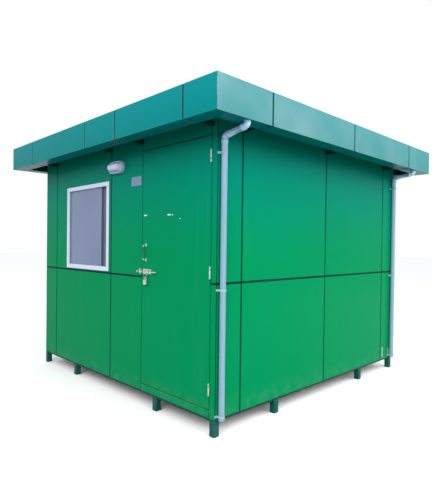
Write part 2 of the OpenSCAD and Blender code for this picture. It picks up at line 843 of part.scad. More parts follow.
feet();
base_side_beams();
base_cross_beams();
floor_deck();
corner_posts();
front_wall_bays();
front_wall_infill();
side_walls();
back_wall();
front_cladding();
side_cladding();
back_cladding();
front_lining();
side_linings();
back_lining();
ceiling();
roof_joists();
roof_deck();
roof_firrings();
roof_sheet();
gutter_floor();
gutter_sides();
eaves_arms();
eaves_uprights();
eaves_faces();
eaves_returns();
eaves_copings();
downpipes();
pipe_clips();
window_frame();
window_sash();
window_glass();
lamp_base();
lamp_cover();
wall_plate();
bolt_keep();
frame_hinge_leaves();
door_stops();
door_sill();
door_leaf();
door_skin();
door_hinge_leaves();
pull_handle();
bolt_guides();
padlock();
bolt_rod();
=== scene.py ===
# %% [markdown]
# # A portable site cabin
#
# The cabin is a steel-framed box, clad in glossy green composite panels with dark sealed
# joints, under a boxed fascia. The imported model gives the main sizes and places, and this
# script adds surfaces, small fittings and light. Everything is in metres. X runs along the
# front to the right, Y to the back and Z up.

# %% Load the frame
import math
import random

import bmesh
import bpy
from mathutils import Matrix, Vector


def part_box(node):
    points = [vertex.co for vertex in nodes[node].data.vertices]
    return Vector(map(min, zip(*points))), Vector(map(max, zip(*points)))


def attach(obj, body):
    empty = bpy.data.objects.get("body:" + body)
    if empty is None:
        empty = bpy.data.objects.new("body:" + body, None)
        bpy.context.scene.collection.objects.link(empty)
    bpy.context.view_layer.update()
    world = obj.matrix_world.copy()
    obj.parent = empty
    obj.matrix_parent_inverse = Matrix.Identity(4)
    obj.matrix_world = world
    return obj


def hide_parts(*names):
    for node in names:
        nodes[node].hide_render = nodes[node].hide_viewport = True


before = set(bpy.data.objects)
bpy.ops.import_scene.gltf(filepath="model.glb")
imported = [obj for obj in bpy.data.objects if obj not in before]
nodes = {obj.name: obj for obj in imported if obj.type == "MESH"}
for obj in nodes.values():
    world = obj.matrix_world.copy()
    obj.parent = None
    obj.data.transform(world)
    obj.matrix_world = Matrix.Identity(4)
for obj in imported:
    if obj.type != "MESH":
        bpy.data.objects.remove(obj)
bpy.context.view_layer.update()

# %% [markdown]
# ## The camera
#
# A near corner seen a little below eye level is set by a place, a heading, a small downward
# pitch and a slight roll. The three directions of the camera are worked out from these
# angles, because that keeps the numbers readable and leaves no constraint on the camera.

# %% Camera
camera_place = Vector((3.980, -3.9115, 1.494))
heading = math.radians(45.84)
pitch = math.radians(-0.70)
roll = math.radians(0.71)
forward = Vector((-math.sin(heading) * math.cos(pitch),
                  math.cos(heading) * math.cos(pitch), math.sin(pitch)))
level = Vector((math.cos(heading), math.sin(heading), 0.0))
upward = level.cross(forward)
across = math.cos(roll) * level + math.sin(roll) * upward
upright = -math.sin(roll) * level + math.cos(roll) * upward

camera = bpy.data.objects.new("camera", bpy.data.cameras.new("camera"))
camera.data.lens = 32.2
camera.data.sensor_width = 36.0
camera.data.clip_end = 200.0
camera.matrix_world = (Matrix.Translation(camera_place)
                       @ Matrix((across, upright, -forward)).transposed().to_4x4())
bpy.context.scene.collection.objects.link(camera)
bpy.context.scene.camera = camera
print("camera looks along", [round(v, 3) for v in forward])

# %% [markdown]
# ## Tools for making meshes
#
# Most pieces here are flat sheets with folded edges. A sharp box edge never catches light,
# so the sheets are copies of the model's own nodes with a small bevel along each edge. The
# copy is merged first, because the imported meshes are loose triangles.

# %% Mesh helpers
def linked(name, data):
    """A new object in the scene, at the origin."""
    made = bpy.data.objects.new(name, data)
    bpy.context.scene.collection.objects.link(made)
    return made


def mesh_of(bm, name):
    """Writes a bmesh to a new mesh and frees it."""
    mesh = bpy.data.meshes.new(name)
    bm.to_mesh(mesh)
    bm.free()
    return mesh


def to_object(name, bm, material, body, replaced=(), smooth=None):
    """Turns a bmesh into a finished piece that rides on a body."""
    return finish_mesh(name, mesh_of(bm, name), material, body, replaced, smooth)


def finish_mesh(name, mesh, material, body, replaced=(), smooth=None):
    """Gives a mesh its finish and body. With an angle in smooth, gentler edges shade round."""
    piece = linked(name, mesh)
    mesh.materials.clear()
    mesh.materials.append(material)
    if smooth is not None:
        for face in mesh.polygons:
            face.use_smooth = True
        mesh.set_sharp_from_angle(angle=math.radians(smooth))
    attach(piece, body)
    if replaced:
        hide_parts(*replaced)
    print(f"{name}: {len(mesh.polygons)} faces on {body}")
    return piece


def merged_copy(node_name):
    """A closed bmesh of a node, with its doubled points merged."""
    bm = bmesh.new()
    bm.from_mesh(nodes[node_name].data)
    bmesh.ops.remove_doubles(bm, verts=bm.verts, dist=1e-5)
    return bm


def sharp_edges(bm, degrees=25):
    return [e for e in bm.edges if e.is_manifold and e.calc_face_angle() > math.radians(degrees)]


def round_edges(bm, edges, bevel, segments=2):
    """Rounds the edges given. Broad faces stay flat, or they would shade like pillows."""
    made = bmesh.ops.bevel(bm, geom=edges, offset=bevel, segments=segments, profile=0.5,
                           affect="EDGES", clamp_overlap=True)
    for face in bm.faces:
        face.smooth = False
    for face in made["faces"]:
        face.smooth = True


def softened(node_name, name, material, body, bevel=0.0012, segments=2,
             smooth=None):
    """A copy of a node with every sharp edge rounded. Round parts need an angle in smooth."""
    bm = merged_copy(node_name)
    bmesh.ops.dissolve_limit(bm, angle_limit=math.radians(1), verts=bm.verts, edges=bm.edges)
    round_edges(bm, sharp_edges(bm), bevel, segments)
    return to_object(name, bm, material, body, (node_name,), smooth)


def smoothed(node_name, name, material, body, angle=32):
    """A copy of a round node that shades smoothly over its curves."""
    return to_object(name, merged_copy(node_name), material, body,
                     (node_name,), smooth=angle)


def loose_boxes(node_name):
    """The box of each separate solid in a node, as pairs of corners."""
    bm = merged_copy(node_name)
    bm.verts.ensure_lookup_table()
    seen, boxes = set(), []
    for start in bm.verts:
        if start.index in seen:
            continue
        stack, part = [start], []
        seen.add(start.index)
        while stack:
            vert = stack.pop()
            part.append(vert.co.copy())
            for edge in vert.link_edges:
                other = edge.other_vert(vert)
                if other.index not in seen:
                    seen.add(other.index)
                    stack.append(other)
        boxes.append((Vector([min(p[i] for p in part) for i in range(3)]),
                      Vector([max(p[i] for p in part) for i in range(3)])))
    bm.free()
    return boxes


def skin(bm, rows, capped=True):
    """Joins each ring of corners to the next with faces, and closes both ends."""
    count = len(rows[0])
    for row, following in zip(rows, rows[1:]):
        for i in range(count):
            j = (i + 1) % count
            bm.faces.new((row[i], row[j], following[j], following[i]))
    if capped:
        bm.faces.new(list(reversed(rows[0])))
        bm.faces.new(rows[-1])


def extruded(outline, width, rise):
    """A closed strip one metre long up Z, from an outline of (x, y) shares of its sizes."""
    bm = bmesh.new()
    skin(bm, [[bm.verts.new((x * width, y * rise, z)) for x, y in outline] for z in (0.0, 1.0)])
    bmesh.ops.recalc_face_normals(bm, faces=bm.faces)
    return bm


# %% [markdown]
# ## Shared effects
#
# Several finishes need the same small effects: a slow drift of tone, fine grain, ripples in
# a sheet, dust thrown up from the ground and streaks left by rain. Each is a node group
# that puts out one mask or height, so that every material can use it with its own values.

# %% Node group helpers
def add(tree, kind, **settings):
    made = tree.nodes.new(kind)
    for key, value in settings.items():
        setattr(made, key, value)
    return made


def feed(tree, socket, value):
    """Links an output to a socket, or sets the socket's own value. A colour is opaque."""
    if isinstance(value, bpy.types.NodeSocket):
        tree.links.new(value, socket)
    elif socket.type == "RGBA":
        socket.default_value = (*value, 1.0)
    else:
        socket.default_value = value


def calc(tree, operation, first, second=0.0, clamp=False):
    made = add(tree, "ShaderNodeMath", operation=operation, use_clamp=clamp)
    feed(tree, made.inputs[0], first)
    feed(tree, made.inputs[1], second)
    return made.outputs[0]


def blend(tree, share, first, second):
    made = add(tree, "ShaderNodeMix", data_type="RGBA")
    feed(tree, made.inputs[0], share)
    feed(tree, made.inputs[6], first)
    feed(tree, made.inputs[7], second)
    return made.outputs[2]


def ease(tree, value, low, high, to_low=0.0, to_high=1.0):
    made = add(tree, "ShaderNodeMapRange", interpolation_type="SMOOTHSTEP")
    for index, item in enumerate((value, low, high, to_low, to_high)):
        feed(tree, made.inputs[index], item)
    return made.outputs[0]


def cloud(tree, place, scale, detail=3.0, roughness=0.5):
    made = add(tree, "ShaderNodeTexNoise")
    feed(tree, made.inputs["Vector"], place)
    feed(tree, made.inputs["Scale"], scale)
    made.inputs["Detail"].default_value = detail
    made.inputs["Roughness"].default_value = roughness
    return made.outputs["Fac"]


def new_group(name, inputs, output):
    """An empty shader node group with float inputs and one float output."""
    group = bpy.data.node_groups.new(name, "ShaderNodeTree")
    for label, value in inputs:
        made = group.interface.new_socket(label, in_out="INPUT", socket_type="NodeSocketFloat")
        made.default_value = value
    group.interface.new_socket(output, in_out="OUTPUT", socket_type="NodeSocketFloat")
    entry = add(group, "NodeGroupInput")
    leave = add(group, "NodeGroupOutput")
    place = add(group, "ShaderNodeTexCoord").outputs["Object"]
    return group, entry, leave, place


def stretched(tree, place, factors):
    made = add(tree, "ShaderNodeMapping")
    feed(tree, made.inputs["Vector"], place)
    made.inputs["Scale"].default_value = factors
    return made.outputs["Vector"]


# %% Tone drift
drift, entry, leave, place = new_group("tone_drift", [("Scale", 1.0), ("Contrast", 2.0)], "Tone")
raw = cloud(drift, place, entry.outputs["Scale"], detail=4.0)
centred = calc(drift, "SUBTRACT", raw, 0.5)
feed(drift, leave.inputs[0], calc(drift, "ADD", calc(drift, "MULTIPLY", centred,
                                                      entry.outputs["Contrast"]), 0.5, True))

# %% Fine grain
grain, entry, leave, place = new_group("fine_grain", [("Scale", 400.0)], "Height")
feed(grain, leave.inputs[0], cloud(grain, place, entry.outputs["Scale"], 5.0, 0.65))

# %% Sheet ripple
ripple, entry, leave, place = new_group("sheet_ripple", [("Scale", 1.4)], "Height")
feed(ripple, leave.inputs[0], cloud(ripple, place, entry.outputs["Scale"], 1.0, 0.4))

# %% Ground dust
dust, entry, leave, place = new_group(
    "ground_dust", [("Top", 0.6), ("Scale", 7.0), ("Amount", 0.6)], "Mask")
height = add(dust, "ShaderNodeSeparateXYZ")
feed(dust, height.inputs[0], place)
low_down = ease(dust, height.outputs["Z"], entry.outputs["Top"], 0.1)
patchy = ease(dust, cloud(dust, place, entry.outputs["Scale"], 6.0, 0.6), 0.38, 0.72)
spread = calc(dust, "MULTIPLY", low_down, patchy)
feed(dust, leave.inputs[0], calc(dust, "MULTIPLY", spread, entry.outputs["Amount"], True))

# %% Rain streaks
streaks, entry, leave, place = new_group("rain_streaks", [("Scale", 9.0), ("Amount", 0.5)], "Mask")
tall = stretched(streaks, place, (1.0, 1.0, 0.045))
lines = ease(streaks, cloud(streaks, tall, entry.outputs["Scale"], 4.0, 0.7), 0.56, 0.78)
sheen_share = calc(streaks, "MULTIPLY", lines, cloud(streaks, place, 1.1, 2.0))
feed(streaks, leave.inputs[0],
     calc(streaks, "MULTIPLY", sheen_share, entry.outputs["Amount"], True))
print("effects:", [g.name for g in (drift, grain, ripple, dust, streaks)])


# %% [markdown]
# ## Finishes
#
# Each finish starts from one plain colour and adds what its real material shows. Values that
# are the same all over sit on the shader's own sockets, and only what changes over the
# surface is linked.

# %% Material helpers
def new_material(name, roughness=0.4, metallic=0.0, specular=0.5):
    material = bpy.data.materials.new(name)
    material.use_nodes = True
    tree = material.node_tree
    shader = tree.nodes["Principled BSDF"]
    shader.inputs["Roughness"].default_value = roughness
    shader.inputs["Metallic"].default_value = metallic
    shader.inputs["Specular IOR Level"].default_value = specular
    return material, tree, shader


def effect(tree, group, **values):
    made = add(tree, "ShaderNodeGroup", node_tree=group)
    for label, value in values.items():
        made.inputs[label].default_value = value
    return made.outputs[0]


def bumped(tree, shader, height, strength, distance):
    made = add(tree, "ShaderNodeBump")
    made.inputs["Strength"].default_value = strength
    made.inputs["Distance"].default_value = distance
    feed(tree, made.inputs["Height"], height)
    feed(tree, shader.inputs["Normal"], made.outputs["Normal"])


def coloured(tree, shader, colour):
    feed(tree, shader.inputs["Base Color"], colour)


def roughened(tree, shader, mask, amount, base):
    """Roughness that rises from its base by up to an amount where the mask is bright."""
    raised = calc(tree, "MULTIPLY", mask, amount)
    feed(tree, shader.inputs["Roughness"], calc(tree, "ADD", raised, base, True))


def toned(tree, scale, contrast, first, second):
    """A colour that drifts between two tones over the surface."""
    return blend(tree, effect(tree, drift, Scale=scale, Contrast=contrast), first, second)


def coordinate(tree, kind, axis):
    """One axis of a surface point (kind Object) or of its direction (kind Normal)."""
    split = add(tree, "ShaderNodeSeparateXYZ")
    feed(tree, split.inputs[0], add(tree, "ShaderNodeTexCoord").outputs[kind])
    return split.outputs[axis]


DUST = (0.42, 0.40, 0.34)
# The pale tone of a painted sky reflection on the eaves.
SKY_SHEEN = (0.30, 0.40, 0.43)
GRIME = (0.30, 0.31, 0.28)
RUST = (0.16, 0.055, 0.022)
BOARD_PALE = (0.70, 0.71, 0.66)
BOARD_AGED = (0.62, 0.62, 0.56)


# %% [markdown]
# The wall panels are aluminium composite with a glossy paint film. Their deep green is
# painted bluer towards the eaves as a painted reflection of the sky, and the eaves' bluer
# teal is a painted sky reflection too. The sheets are never quite flat, so a slow ripple
# bends the reflections, and a little dust and rain has dried on them. On the eaves' right
# side a paler tone is painted in patches, as a painted reflection of the bright sky there.

# %% Painted composite panel
def panel_finish(name, low, high, low_z, high_z, gloss=0.20, specular=0.01, flake=0.05,
                 sky_sheen=0.0):
    material, tree, shader = new_material(name, gloss, flake, specular)
    # The climb by height to a bluer colour is a painted reflection of the sky.
    sky_reflection_climb = ease(tree, coordinate(tree, "Object", "Z"), low_z, high_z)
    paint = blend(tree, sky_reflection_climb, low, high)
    # A paler tone painted in patches on right-facing faces is a painted reflection of the bright
    # sky.
    if sky_sheen:
        right_facing = ease(tree, coordinate(tree, "Normal", "X"), 0.5, 0.9)
        patches = ease(tree, effect(tree, drift, Scale=0.8, Contrast=2.2), 0.15, 0.85, 0.35, 1.0)
        sheen_share = calc(tree, "MULTIPLY", calc(tree, "MULTIPLY", right_facing, patches), sky_sheen)
        paint = blend(tree, sheen_share, paint, SKY_SHEEN)
    tone = effect(tree, drift, Scale=0.7, Contrast=1.6)
    deeper = (low[0], low[1] * 0.86, low[2] * 0.80)
    shade = blend(tree, calc(tree, "MULTIPLY", tone, 0.30), paint, deeper)
    dirt = calc(tree, "MAXIMUM", effect(tree, dust, Top=0.34, Scale=11.0, Amount=0.07),
                effect(tree, streaks, Scale=7.0, Amount=0.035))
    coloured(tree, shader, blend(tree, dirt, shade, DUST))
    smear = effect(tree, drift, Scale=5.0, Contrast=1.2)
    rough = calc(tree, "ADD", calc(tree, "MULTIPLY", smear, 0.08), gloss - 0.04)
    roughened(tree, shader, dirt, 0.5, rough)
    bumped(tree, shader, effect(tree, ripple, Scale=1.3), 0.18, 0.02)
    return material


# Both greens are painted bluer towards the top, and the eaves' teal, as painted sky reflection.
wall_green = panel_finish("wall_green", (0.0, 0.232, 0.082), (0.0, 0.195, 0.150),
                          1.2, 2.4)
eaves_green = panel_finish("eaves_green", (0.001, 0.190, 0.195), (0.002, 0.215, 0.228),
                           2.40, 2.65, gloss=0.24, specular=0.025, flake=0.0, sky_sheen=0.55)
print("panel finishes ready")

# %% [markdown]
# Steel under the panels has a thin dark paint. The feet are a little greener, and both are
# chipped through to rust here and there.

# %% Painted steel
def steel_paint(name, colour, worn, rust_share):
    material, tree, shader = new_material(name, 0.45, 0.0, 0.06)
    tone = effect(tree, drift, Scale=6.0, Contrast=1.6)
    paint = blend(tree, calc(tree, "MULTIPLY", tone, 0.35), colour, worn)
    chips = ease(tree, effect(tree, drift, Scale=38.0, Contrast=2.6), 0.80, 0.90,
                 0.0, rust_share)
    rusted = blend(tree, chips, paint, RUST)
    low_dust = effect(tree, dust, Top=0.16, Scale=14.0, Amount=0.06)
    coloured(tree, shader, blend(tree, low_dust, rusted, DUST))
    roughened(tree, shader, chips, 0.4, 0.42)
    bumped(tree, shader, effect(tree, grain, Scale=260.0), 0.12, 0.001)
    return material


dark_steel = steel_paint("dark_steel", (0.004, 0.045, 0.042), (0.008, 0.060, 0.054), 0.08)
green_steel = steel_paint("green_steel", (0.001, 0.085, 0.074), (0.003, 0.060, 0.056),
                          0.25)

# %% [markdown]
# The joints are filled with a blue-black sealant, tooled by hand, so its surface is a little
# uneven and duller than the paint.

# %% Joint sealant
sealant, tree, shader = new_material("joint_sealant", 0.5, 0.0, 0.06)
coloured(tree, shader, toned(tree, 4.0, 1.5, (0.001, 0.018, 0.024), (0.002, 0.032, 0.038)))
bumped(tree, shader, effect(tree, drift, Scale=30.0, Contrast=1.5), 0.3, 0.001)

# %% [markdown]
# Zinc plate shows a faint spangle, which is a cell pattern in tone and roughness.

# %% Zinc-plated fittings
zinc, tree, shader = new_material("zinc_plate", 0.38, 0.75, 0.5)
spangle = add(tree, "ShaderNodeTexVoronoi")
spangle.inputs["Scale"].default_value = 160.0
feed(tree, spangle.inputs["Vector"], add(tree, "ShaderNodeTexCoord").outputs["Object"])
patch = add(tree, "ShaderNodeSeparateColor")
feed(tree, patch.inputs[0], spangle.outputs["Color"])
tarnish = ease(tree, effect(tree, drift, Scale=22.0, Contrast=2.0), 0.62, 0.9, 0.0, 0.5)
bright = blend(tree, patch.outputs[0], (0.40, 0.46, 0.42), (0.58, 0.64, 0.58))
coloured(tree, shader, blend(tree, tarnish, bright, (0.34, 0.30, 0.24)))
roughened(tree, shader, patch.outputs[0], 0.15, 0.30)
bumped(tree, shader, effect(tree, grain, Scale=500.0), 0.1, 0.0005)

# %% [markdown]
# The pull is polished steel. Along the grip its colour is a dark green painted reflection
# of the wall, and the ends keep a paler steel colour. The distance from the middle of the
# grip decides between the two.

# %% Pull handle
pull_steel, tree, shader = new_material("pull_steel", 0.25, 0.8, 0.4)
pull_low, pull_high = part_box("pull_handle")
above_middle = calc(tree, "SUBTRACT", coordinate(tree, "Object", "Z"),
                    (pull_low[2] + pull_high[2]) / 2)
from_middle = calc(tree, "ABSOLUTE", above_middle)
ends = ease(tree, from_middle, 0.045, 0.060)
# The dark green of the grip is a painted reflection of the green wall.
coloured(tree, shader, blend(tree, ends, (0.050, 0.190, 0.150), (0.46, 0.54, 0.50)))
bumped(tree, shader, effect(tree, grain, Scale=420.0), 0.08, 0.0004)

# %% [markdown]
# Plastic pipe, lamp shells and the window's powder coat are pale and even. What makes them
# real is a slight yellowing, dust that settles in the lower part and a faint orange peel.

# %% Pale plastics and coatings
def pale_finish(name, colour, aged, roughness, specular, dirt_amount, peel):
    material, tree, shader = new_material(name, roughness, 0.0, specular)
    tone = effect(tree, drift, Scale=3.0, Contrast=1.6)
    base = blend(tree, calc(tree, "MULTIPLY", tone, 0.6), colour, aged)
    dirt = calc(tree, "MAXIMUM",
                effect(tree, dust, Top=0.7, Scale=16.0, Amount=dirt_amount),
                effect(tree, streaks, Scale=30.0, Amount=dirt_amount * 0.8))
    coloured(tree, shader, blend(tree, dirt, base, GRIME))
    roughened(tree, shader, dirt, 0.4, roughness)
    bumped(tree, shader, effect(tree, grain, Scale=peel), 0.06, 0.0006)
    return material


pipe_white = pale_finish("pipe_white", (0.430, 0.680, 0.920), (0.39, 0.62, 0.86),
                         0.28, 0.5, 0.16, 300.0)
clip_grey = pale_finish("clip_grey", (0.300, 0.400, 0.440), (0.24, 0.32, 0.34),
                        0.4, 0.2, 0.20, 300.0)
frame_white = pale_finish("frame_white", (0.56, 0.63, 0.77), (0.50, 0.57, 0.70),
                          0.35, 0.5, 0.15, 600.0)
lining_white = pale_finish("lining_white", BOARD_PALE, BOARD_AGED, 0.45, 0.35, 0.12, 200.0)
lamp_shell = pale_finish("lamp_shell", (0.47, 0.55, 0.76), (0.42, 0.50, 0.70),
                         0.30, 0.5, 0.10, 400.0)
plate_grey = pale_finish("plate_grey", (0.135, 0.215, 0.340), (0.105, 0.185, 0.300),
                         0.35, 0.5, 0.10, 500.0)
tape_white = pale_finish("tape_white", (0.62, 0.72, 0.68), (0.50, 0.62, 0.56),
                         0.6, 0.3, 0.10, 500.0)

# %% [markdown]
# The door leaf is pale inside. Round its edges it is painted a near-black green, which is
# painted shade in the gaps round the leaf. The choice is made from the direction of each
# face, read in the leaf's own space, so it turns with the door.

# %% Door leaf
leaf_finish, tree, shader = new_material("leaf_finish", 0.42, 0.0, 0.4)
inside = calc(tree, "GREATER_THAN", coordinate(tree, "Normal", "Y"), 0.6)
pale = toned(tree, 2.0, 1.5, BOARD_PALE, BOARD_AGED)
# Faces that do not face the room are painted near-black green as painted shade in the gaps.
coloured(tree, shader, blend(tree, inside, (0.003, 0.040, 0.036), pale))
bumped(tree, shader, effect(tree, grain, Scale=180.0), 0.08, 0.0008)

# %% [markdown]
# The lamp's cover is opal glass, which scatters light inside. A little subsurface light
# keeps its shaded side soft.

# %% Opal cover
opal, tree, shader = new_material("opal_cover", 0.16, 0.0, 0.5)
coloured(tree, shader, toned(tree, 9.0, 1.0, (0.50, 0.55, 0.76), (0.58, 0.62, 0.82)))
shader.inputs["Subsurface Weight"].default_value = 0.3
shader.inputs["Subsurface Radius"].default_value = (0.01, 0.01, 0.012)
bumped(tree, shader, effect(tree, grain, Scale=120.0), 0.03, 0.0005)

# %% [markdown]
# The outer pane is painted a flat lilac-grey, which is a painted reflection of the sky. The
# pane behind it is glass in front of the room, painted dark blue-grey as the painted shade
# of the room seen through it.

# %% Window panes
# The lilac-grey is a painted reflection of the sky.
sky_pane, tree, shader = new_material("pane_painted_sky", 0.12, 0.0, 0.3)
tone = effect(tree, drift, Scale=1.6, Contrast=1.6)
coloured(tree, shader, blend(tree, tone, (0.140, 0.180, 0.300), (0.168, 0.210, 0.330)))
roughened(tree, shader, tone, 0.10, 0.08)
bumped(tree, shader, effect(tree, ripple, Scale=2.5), 0.12, 0.01)

bare_glass, tree, shader = new_material("bare_glass", 0.08, 0.0, 0.2)
# The dark blue-grey is the painted shade of the room behind the glass.
coloured(tree, shader, toned(tree, 2.0, 1.4, (0.085, 0.092, 0.128), (0.110, 0.120, 0.165)))
bumped(tree, shader, effect(tree, ripple, Scale=3.0), 0.1, 0.01)

gasket, tree, shader = new_material("gasket_rubber", 0.6, 0.0, 0.3)
coloured(tree, shader, toned(tree, 40.0, 1.5, (0.018, 0.020, 0.026), (0.040, 0.044, 0.055)))
bumped(tree, shader, effect(tree, grain, Scale=350.0), 0.2, 0.0005)

# %% [markdown]
# Boards have a fibre direction, which is a noise stretched along one axis. The roof sheet is
# zinc-alloy coated steel, and rain has drawn its dirt out in streaks down the slope.

# %% Boards and roof sheet
def board_finish(name, light, dark, along, roughness):
    material, tree, shader = new_material(name, roughness, 0.0, 0.3)
    place = add(tree, "ShaderNodeTexCoord").outputs["Object"]
    fibre = cloud(tree, stretched(tree, place, along), 6.0, 6.0, 0.7)
    colour = blend(tree, ease(tree, fibre, 0.3, 0.75), light, dark)
    worn = effect(tree, drift, Scale=1.2, Contrast=1.6)
    coloured(tree, shader, blend(tree, calc(tree, "MULTIPLY", worn, 0.3), colour, DUST))
    bumped(tree, shader, fibre, 0.15, 0.001)
    return material


floor_board = board_finish("floor_board", (0.30, 0.26, 0.20), (0.20, 0.17, 0.13),
                           (1.0, 9.0, 1.0), 0.42)
deck_board = board_finish("deck_board", (0.060, 0.085, 0.075), (0.035, 0.055, 0.050),
                          (8.0, 1.0, 1.0), 0.7)

roof_steel, tree, shader = new_material("roof_steel", 0.42, 0.35, 0.5)
sheet_colour = toned(tree, 2.2, 1.8, (0.50, 0.54, 0.54), (0.60, 0.63, 0.62))
place = add(tree, "ShaderNodeTexCoord").outputs["Object"]
washed = ease(tree, cloud(tree, stretched(tree, place, (0.12, 2.2, 1.0)), 5.0, 5.0, 0.7),
              0.45, 0.8, 0.0, 0.55)
coloured(tree, shader, blend(tree, washed, sheet_colour, DUST))
roughened(tree, shader, washed, 0.4, 0.38)
bumped(tree, shader, effect(tree, ripple, Scale=4.0), 0.2, 0.01)
print("finishes:", len(bpy.data.materials))

# %% [markdown]
# ## Finishes on the model's own nodes
#
# A node whose shape is right stays and only takes a finish. The dictionary says which.

# %% Assign finishes
finish_of = {
    dark_steel: ("base_side_beams", "base_cross_beams", "corner_posts", "front_wall_bays",
                 "front_wall_infill", "side_walls", "back_wall", "roof_joists",
                 "eaves_arms", "eaves_uprights", "door_stops"),
    green_steel: ("feet",),
    lining_white: ("front_lining", "side_linings", "back_lining", "ceiling"),
    leaf_finish: ("door_leaf",),
    floor_board: ("floor_deck",),
    deck_board: ("roof_deck", "roof_firrings"),
    roof_steel: ("roof_sheet", "gutter_floor", "gutter_sides"),
    wall_green: ("front_cladding", "side_cladding", "back_cladding", "door_skin"),
    eaves_green: ("eaves_faces", "eaves_returns", "eaves_copings"),
    pipe_white: ("downpipes",),
    clip_grey: ("pipe_clips",),
    frame_white: ("window_frame",),
    sky_pane: ("window_sash",),
    bare_glass: ("window_glass",),
    lamp_shell: ("lamp_base",),
    opal: ("lamp_cover",),
    plate_grey: ("wall_plate",),
    pull_steel: ("pull_handle",),
    zinc: ("bolt_keep", "frame_hinge_leaves", "door_sill", "door_hinge_leaves",
           "bolt_guides", "padlock", "bolt_rod"),
}
for material, names in finish_of.items():
    for node_name in names:
        mesh = nodes[node_name].data
        if not mesh.materials:
            mesh.materials.append(material)
        for index in range(len(mesh.materials)):
            nodes[node_name].material_slots[index].material = material
missing = set(nodes) - {n for names in finish_of.values() for n in names}
print("nodes without a finish:", sorted(missing))

# %% [markdown]
# ## Panels with folded edges
#
# Composite panels are routed and folded, so their edges are round by about a millimetre.

# %% Soft-edged panels
for side in ("front", "side", "back"):
    softened(side + "_cladding", side + "_panels", wall_green, "cabin")
softened("door_skin", "door_panel", wall_green, "door")
softened("door_leaf", "door_core", leaf_finish, "door", bevel=0.002)
softened("window_frame", "window_surround", frame_white, "cabin", bevel=0.0025,
         segments=3)
softened("feet", "steel_feet", green_steel, "cabin", bevel=0.004, segments=3)
softened("wall_plate", "blank_plate", plate_grey, "cabin", bevel=0.001)
softened("door_sill", "threshold", zinc, "cabin", bevel=0.003)

# %% [markdown]
# Pipes, clips and round fittings keep their exact shape and only need smooth shading. A
# merged copy with its sharp edges marked gives that.

# %% Round fittings
for node_name, name, finish, body, slot_name in (
        ("downpipes", "rain_pipes", pipe_white, "cabin", "pipe_plastic"),
        ("pipe_clips", "saddle_clips", clip_grey, "cabin", "pipe_plastic"),
        ("frame_hinge_leaves", "frame_hinges", zinc, "cabin", "galvanised"),
        ("door_hinge_leaves", "door_hinges", zinc, "door", "galvanised"),
        ("pull_handle", "door_pull", pull_steel, "door", "galvanised"),
        ("bolt_guides", "bolt_plate", zinc, "door", "galvanised"),
        ("bolt_keep", "bolt_staple", zinc, "cabin", "galvanised"),
        ("bolt_rod", "bolt_bar", zinc, "bolt", "galvanised")):
    smoothed(node_name, name, finish, body)

# %% [markdown]
# ## Folded eaves panels
#
# Each eaves panel is one sheet folded twice: a tall face, a strip that returns underneath
# and a coping on top. The model holds these flats as three nodes. Here the whole profile is
# drawn once, run between two joints and mitred where two sides meet.

# %% Eaves sizes
eaves_low, eaves_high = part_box("eaves_faces")
face_out, eaves_foot, eaves_top = eaves_high[0], eaves_low[2], eaves_high[2]
sheet = 0.006
return_in = 0.145
coping_in = 0.060
mitre = 0.0005
near_corner = 0.002
eaves_profile = ((0.0, eaves_foot), (return_in, eaves_foot), (return_in, eaves_foot + sheet),
                 (sheet, eaves_foot + sheet), (sheet, eaves_top - sheet),
                 (coping_in, eaves_top - sheet), (coping_in, eaves_top), (0.0, eaves_top))


def side_of(box):
    """The middle of a box, and the way out through the side of the cabin it lies on."""
    middle = (box[0] + box[1]) / 2
    ways = (Vector((0, -1, 0)), Vector((1, 0, 0)), Vector((0, 1, 0)), Vector((-1, 0, 0)))
    return middle, max(ways, key=middle.dot)


print("eaves from", round(eaves_foot, 4), "to", round(eaves_top, 4))


# %% Eaves panels
def eaves_panel(bm, outward, along, ends):
    """One folded panel between two ends. An end at a corner of the eaves is mitred."""
    rows = []
    for at in ends:
        row = []
        for depth, z in eaves_profile:
            reach = at
            if abs(at) > face_out - near_corner:
                reach = math.copysign(face_out - mitre - depth, at)
            row.append(bm.verts.new(outward * (face_out - depth) + along * reach
                                    + Vector((0.0, 0.0, z))))
        rows.append(row)
    skin(bm, rows)


bm = bmesh.new()
for box in loose_boxes("eaves_faces"):
    middle, outward = side_of(box)
    along = Vector((0, 0, 1)).cross(outward)
    eaves_panel(bm, outward, along, sorted((box[0].dot(along), box[1].dot(along))))
bmesh.ops.recalc_face_normals(bm, faces=bm.faces)
round_edges(bm, sharp_edges(bm), 0.0014)
eaves = mesh_of(bm, "eaves_panels")
print("eaves panels:", len(loose_boxes("eaves_faces")))

# %% [markdown]
# The downpipes rise through two round holes in the returns. A Boolean cuts them, because
# the holes cross a finished, bevelled sheet.

# %% Holes for the downpipes
socket_radius = 0.0270
hole_radius = 0.0273
hole_depth = 0.04
bm = bmesh.new()
for corner_low, corner_high in loose_boxes("downpipes"):
    place = Vector((corner_high.x - socket_radius, (corner_low.y + corner_high.y) / 2, eaves_foot))
    bmesh.ops.create_cone(bm, cap_ends=True, segments=48, radius1=hole_radius,
                          radius2=hole_radius, depth=hole_depth,
                          matrix=Matrix.Translation(place))
cutter = linked("hole_cutter", mesh_of(bm, "hole_cutter"))
blank = linked("eaves_blank", eaves)
cut = blank.modifiers.new("holes", "BOOLEAN")
cut.operation = "DIFFERENCE"
cut.solver = "EXACT"
cut.object = cutter
eaves_cut = bpy.data.meshes.new_from_object(
    blank.evaluated_get(bpy.context.evaluated_depsgraph_get()))
for helper in (cutter, blank):
    bpy.data.objects.remove(helper)
finish_mesh("eaves_panels", eaves_cut, eaves_green, "cabin",
            ("eaves_faces", "eaves_returns", "eaves_copings"))

# %% [markdown]
# ## One tree that places repeated fittings
#
# Sealant beads, screws and strips are all one small shape put down many times. A Geometry
# Nodes tree reads the places from the points of a mesh, each with its own turn and stretch,
# puts the shape on each point and gives it its finish. It ends as real geometry.

